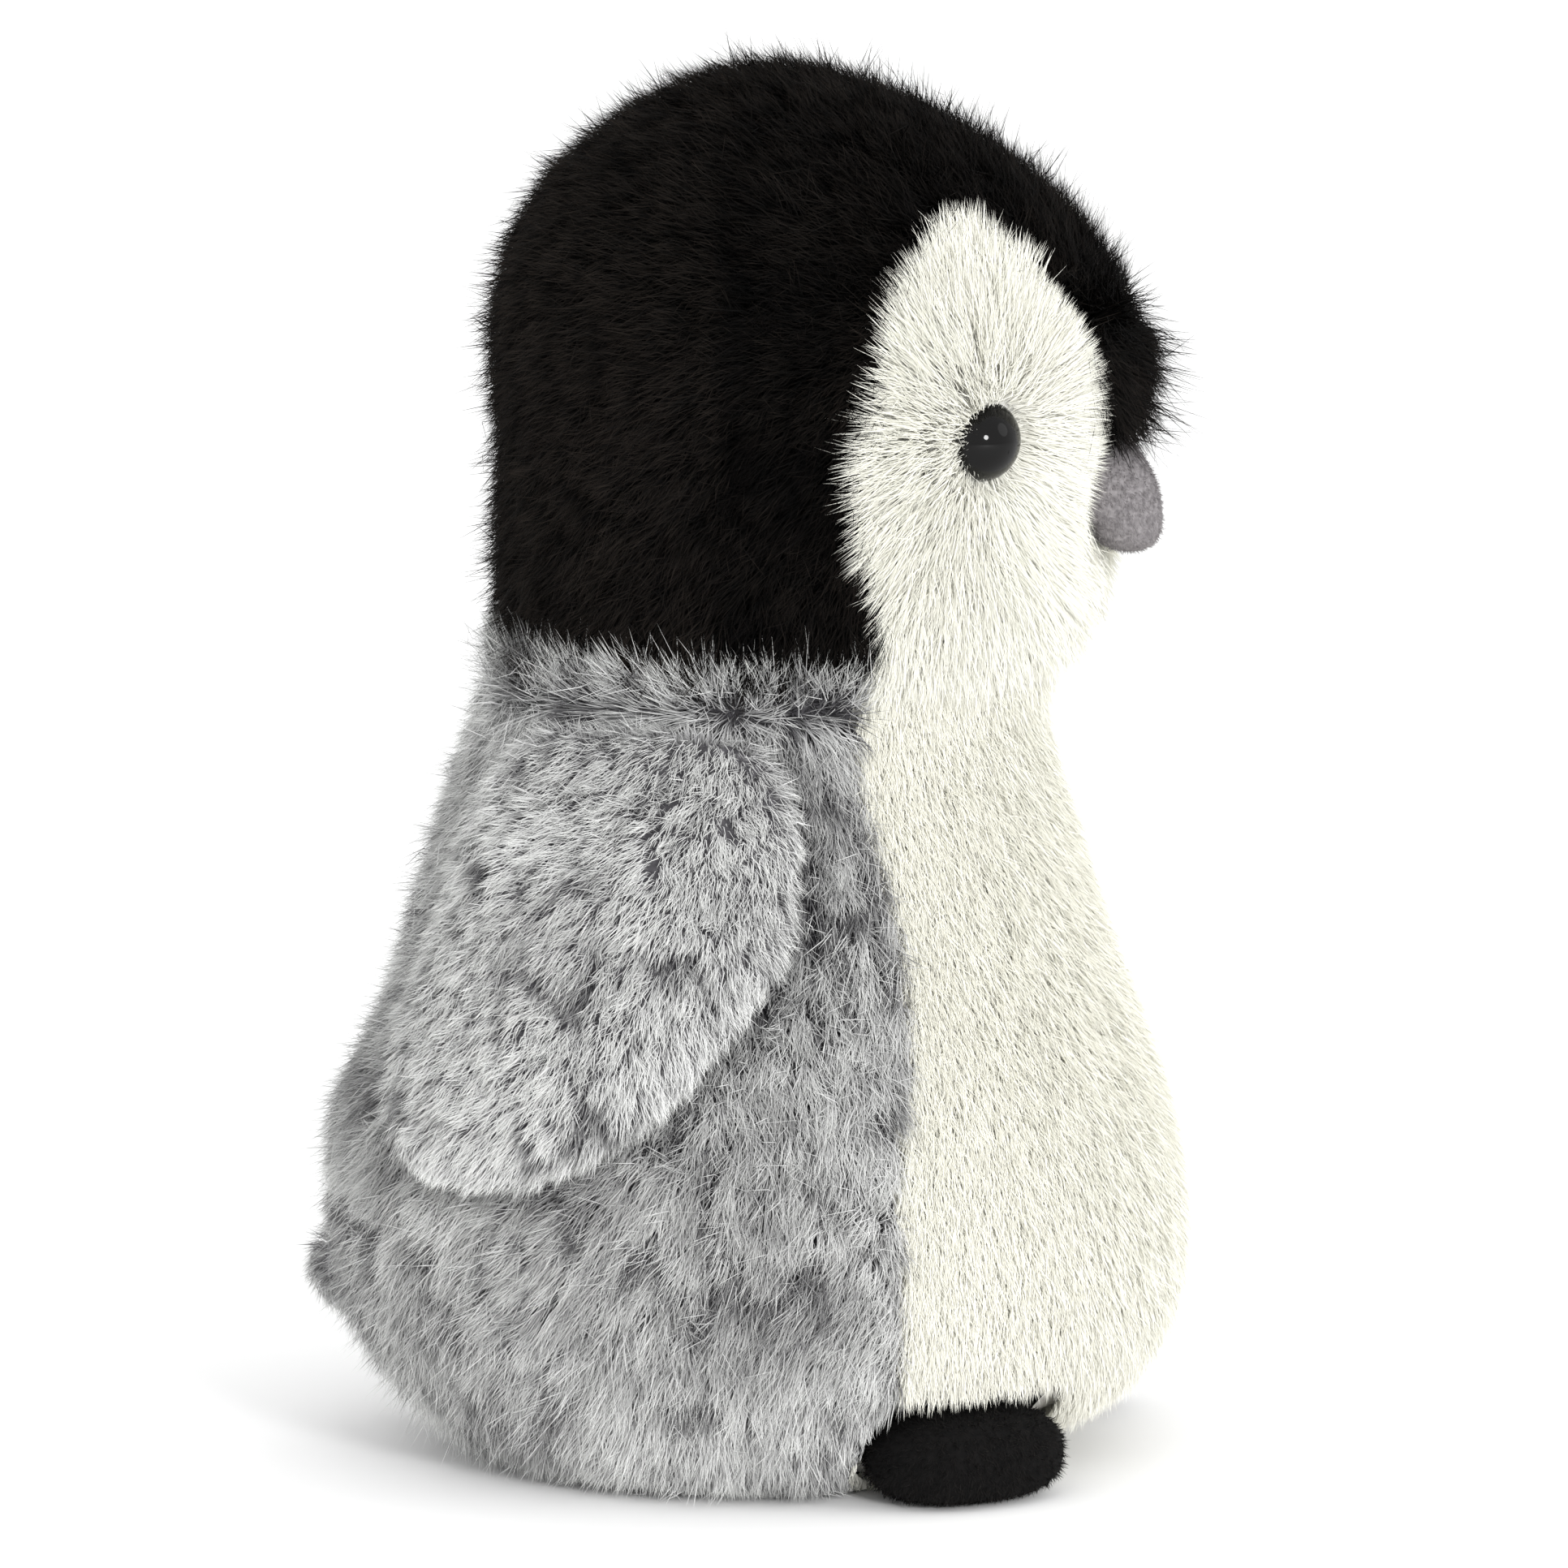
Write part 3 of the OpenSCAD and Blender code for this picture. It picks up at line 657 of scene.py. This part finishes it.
def lie_belly(roots):
    """Down and outwards from the belly's middle."""
    return unit(DOWN + roots * np.array([6.0, 0.0, 0.0]))


# ---- trims: a share of the length, a change of tone and a push on the lie, for each root ----
# How far the brow, a foot and a wing have an effect on the coat beside them
REACH = 8 * MM
WING_REACH = 7 * MM
BEAK_REACH = 20 * MM
# The bare round over an eye, and how far the coat leans away from an eye
EYE_HOLE = 5.4 * MM
EYE_REACH = 12 * MM


def by_neck(roots):
    """Makes the cap's lower edge ragged."""
    low = below(roots, CAP_EDGE, 0.01)
    return 1 + 0.45 * low * waves(roots, scale=4.5, phase=5), 0.0, 0.0


def by_brow(roots):
    """Lengthens the black strip's coat where it ends over the beak, in a tuft that points ahead."""
    low = below(roots, BROW_END, 0.012)
    return 1 + 0.6 * low, 0.0, low[:, None] * (DOWN * 0.3 - BACK * 1.2)


def gap_to(trees, roots, most):
    """The distance from each root to the nearest of these trees' faces, or most where it is farther."""
    gap = np.full(len(roots), most)
    for tree in trees:
        found = (tree.find_nearest(Vector(p), most)[3] for p in roots)
        gap = np.minimum(gap, np.array([most if far is None else far for far in found]))
    return gap


gusset_tree = ray_tree(["brow_gusset"])


def by_eye(roots):
    """Clears the face's coat over the eyes, and trims it beside the eyes, the brow and the beak."""
    share, push = np.ones(len(roots)), np.zeros((len(roots), 3))
    for place in eye_tops.values():
        off = roots - place
        far = np.linalg.norm(off, axis=1)
        beside = np.clip((far - 1 * MM) / (9 * MM), 0, 1)
        share = np.where(far < EYE_HOLE, 0, np.minimum(share, beside))
        push += 3 * np.clip(1 - far / EYE_REACH, 0, 1)[:, None] * unit(off)
    to_beak = np.linalg.norm((roots - beak_root) * [1, 0.6, 1], axis=1)
    near_beak = np.clip(1 - to_beak / BEAK_REACH, 0, 1)
    near_brow = 1 - gap_to([gusset_tree], roots, REACH) / REACH
    near_brow = near_brow * (roots[:, 2] < BESIDE_BROW)
    chin = below(roots, CHIN, 0.01)
    peak = above(roots, PATCH_PEAK, 0.014)
    share = share * (1 - 0.8 * near_beak) * (1 - 0.5 * near_brow)
    share = share * (1 - 0.15 * chin) * (1 - 0.25 * peak)
    push += 3 * near_beak[:, None] * unit(roots - beak_root)
    return share, 0.0, push + chin[:, None] * DOWN


wing_trees = [ray_tree(bodies[f"{side}_wing"]) for side in BOTH]
foot_trees = [ray_tree(bodies[f"{side}_foot"]) for side in BOTH]


def by_feet(roots):
    """Shortens the coat close beside the feet, and hangs it down a little over them."""
    near = 1 - gap_to(foot_trees, roots, REACH) / REACH
    over = roots[:, 2] > FOOT_TOP
    share = np.where(over, 1 - 0.3 * near, np.clip(1 - near, 0.15, 1))
    return share, 0.0, (2.5 * near * over)[:, None] * DOWN


def by_wing(roots):
    """Shortens the coat round each wing and darkens it there with painted shade, shortens it over the feet,
    and fluffs and lightens the collar.
    """
    near = np.clip(1 - gap_to(wing_trees, roots, REACH) / WING_REACH, 0, 1)
    near = near * below(roots, UNDER_WING, 0.02)
    collar = above(roots, COLLAR, 0.008) * (1 - near)
    share = (1 - 0.55 * near) * by_feet(roots)[0] * (1 + 0.2 * collar)
    # The darkening round each wing is painted shade.
    return share, 0.25 * collar - 0.35 * near, collar[:, None] * (-1.6 * DOWN)


# ---- dressing the body ----
# Points inside the head and the torso, which the outer faces of their panels look away from
HEART = {"head": head_middle, "torso": np.array([0.0, 0.0, 0.055])}
# For each panel: its heart, its coat, how the coat lies, its mean shade and its trim
PANELS = {
    "face_right": ("head", "face", lie_from_eyes, 0.60, by_eye),
    "face_left": ("head", "face", lie_from_eyes, 0.60, by_eye),
    "brow_gusset": ("head", "black", lie_brow, 0.40, by_brow),
    "head_side_right": ("head", "black", lie_back, 0.30, by_neck),
    "head_side_left": ("head", "black", lie_back, 0.30, by_neck),
    # The back of the head takes a higher shade than its sides: painted glints in its black coat.
    "head_back": ("head", "black", lie_back, 0.62, by_neck),
    "belly_panel": ("torso", "belly", lie_belly, 0.60, by_feet),
    "body_side_right": ("torso", "grey", lie_down, 0.70, by_wing),
    "body_side_left": ("torso", "grey", lie_down, 0.70, by_wing),
    "rump_panel": ("torso", "grey", lie_down, 0.68, None),
}
GUARDS = {"black": "black_guard", "grey": "grey_guard"}
# How far round a root the direction of the panels is averaged
SMOOTHING = 8 * MM
# The seeds of the random draws. The panels count from 0.
GUARD_SEED = 50
TAIL_SEED = 60
BASE_SEED = 61
WING_SEED = 70
FOOT_SEED = 80
BEAK_SEED = 90

blockers = ray_tree(
    [n for n in bodies["body"] if not n.startswith("eye") and n not in ("tail", "beak_upper", "beak_lower")]
    + bodies["right_foot"]
    + bodies["left_foot"]
)
outer = {node: outer_triangles(node, blockers, HEART[spec[0]]) for node, spec in PANELS.items()}
whole = np.concatenate(list(outer.values()))
for seed, (node, (_, kind, lie, tone, trim)) in enumerate(PANELS.items()):
    normals = smooth_normals(outer[node].reshape(-1, 3), whole, SMOOTHING).reshape(-1, 3, 3)
    skin = outer[node], normals
    grow(node, "body", kind, skin, lie, tone, seed, trim)
    # Guard strands take a shade 0.2 lighter than their panel; on the black cap this adds painted glints.
    if kind in GUARDS:
        grow(f"{node}_guard", "body", GUARDS[kind], skin, lie, tone + 0.2, GUARD_SEED + seed, trim)
    backing(f"cloth_{node}", "body", skin, COATS[kind]["sink"], COATS[kind]["pile"], [node])

tail = pillow("cloth_tail", "body", ["tail"], voxel=1.2, pressure=2, pile="grey")
grow("tail", "body", "wing", tail, lie_down, tone=0.55, seed=TAIL_SEED)

base_triangles = triangles("base_panel")
underside = base_triangles[tri_normals(base_triangles)[:, 2] < -0.9]
base = underside, np.broadcast_to(DOWN, underside.shape)
grow("base", "body", "base", base, lie_outwards, tone=0.75, seed=BASE_SEED)
backing("cloth_base", "body", base, depth=0, pile="base", nodes=["base_panel"])

# ---- dressing the wings, the feet and the beak ----
for number, side in enumerate(BOTH):
    nodes = [f"wing_outer_{side}", f"wing_inner_{side}", f"wing_padding_{side}"]
    wing = pillow(f"cloth_wing_{side}", f"{side}_wing", nodes, voxel=2.0, pressure=4, pile="grey")
    grow(f"wing_{side}", f"{side}_wing", "wing", wing, lie_down, tone=1.0, seed=WING_SEED + number)
    nodes = [f"foot_upper_{side}", f"foot_sole_{side}", f"foot_stuffing_{side}"]
    foot = pillow(f"felt_foot_{side}", f"{side}_foot", nodes, voxel=1.2, pressure=4, pile="felt")
    grow(f"foot_{side}", f"{side}_foot", "felt", foot, lie_back, tone=0.35, seed=FOOT_SEED + number)
nodes = ["beak_upper", "beak_lower", "beak_stuffing"]
beak = pillow("cloth_beak", "body", nodes, voxel=0.8, pressure=2, pile="beak")
grow("beak", "body", "beak", beak, lie_from_beak, tone=0.45, seed=BEAK_SEED)


# ---- CAD nodes that stay in view, and those inside ----
# For each group, its name, the nodes in it and their material
KEPT = {
    "eye_gloss": (
        [f"eye_{side}" for side in BOTH],
        plain_material("eye_gloss", (0.0018, 0.0016, 0.0016), 0.06, 0.2),
    ),
    "washer": (
        [f"eye_washer_{side}" for side in BOTH],
        plain_material("washer", (0.75, 0.75, 0.72), 0.4, 0.4),
    ),
    "pouch_cloth": (
        ["pellet_pouch"],
        cloth_material("pouch_cloth", (0.62, 0.60, 0.55), (0.75, 0.73, 0.68), 700),
    ),
    "pellets": (
        ["pellet_fill"],
        plain_material("pellets", (0.70, 0.71, 0.72), 0.45, 0.4),
    ),
    "filling": (
        ["head_stuffing", "body_stuffing"],
        cloth_material("filling", (0.78, 0.78, 0.77), (0.9, 0.9, 0.89), 250),
    ),
}
for slot, (nodes, material) in KEPT.items():
    for node in nodes:
        kept = frame["nodes"][node]
        kept.data.materials.clear()
        kept.data.materials.append(material)


# ---- studio ----
# About the middle of the toy, in metres
MIDDLE = Vector((0, 0, 0.1))
# The photo's angle, in degrees, and its camera's distance in metres
CAMERA_AZIMUTH = -82
CAMERA_ELEVATION = 9
CAMERA_DISTANCE = 2.5


def area_light(name, place, size, power):
    """A round lamp that shines at the toy. size is in metres and power in watts."""
    light = bpy.data.lights.new(name, "AREA")
    light.shape = "DISK"
    light.size = size
    light.energy = power
    made = bpy.data.objects.new(name, light)
    made.location = place
    made.rotation_euler = (MIDDLE - Vector(place)).to_track_quat("-Z", "Y").to_euler()
    bpy.context.scene.collection.objects.link(made)


def toward(azimuth, elevation, distance):
    """A place at this distance from the toy's middle. Azimuth 0 is in front of the beak, 90 at its left."""
    a, e = math.radians(azimuth), math.radians(elevation)
    flat = math.cos(e)
    return Vector((math.sin(a) * flat, -math.cos(a) * flat, math.sin(e))) * distance + MIDDLE


area_light("key", toward(-60, 15, 1.3), size=0.26, power=8)
area_light("front", toward(-5, 25, 1.2), size=0.6, power=1)

world = bpy.data.worlds.new("studio")
world.use_nodes = True
world.node_tree.nodes["Background"].inputs["Color"].default_value = (1, 1, 1, 1)
world.node_tree.nodes["Background"].inputs["Strength"].default_value = 1.2
bpy.context.scene.world = world

bpy.ops.mesh.primitive_circle_add(vertices=96, radius=5, fill_type="NGON", location=(0, 0, 0))
floor = bpy.context.object
floor.name = "floor"
floor_material, _, _, floor_shader = new_material("floor", 0.9, 0.2)
floor_shader.inputs["Base Color"].default_value = (0.97, 0.97, 0.97, 1)
floor.data.materials.append(floor_material)

camera_data = bpy.data.cameras.new("camera")
camera_data.sensor_width = 36
camera_data.lens = 388
camera = bpy.data.objects.new("camera", camera_data)
bpy.context.scene.collection.objects.link(camera)
view_from = toward(CAMERA_AZIMUTH, CAMERA_ELEVATION, CAMERA_DISTANCE) - MIDDLE
turn = math.radians(CAMERA_AZIMUTH)
right_way = Vector((math.cos(turn), math.sin(turn), 0))
# The place in the middle of the photo: a little below the toy's middle, and to the right
target = Vector((0, 0, 0.0989)) + right_way * 0.0050
camera.location = target + view_from
camera.rotation_euler = (-view_from).to_track_quat("-Z", "Y").to_euler()
bpy.context.scene.camera = camera
bpy.context.scene.view_settings.view_transform = "Standard"
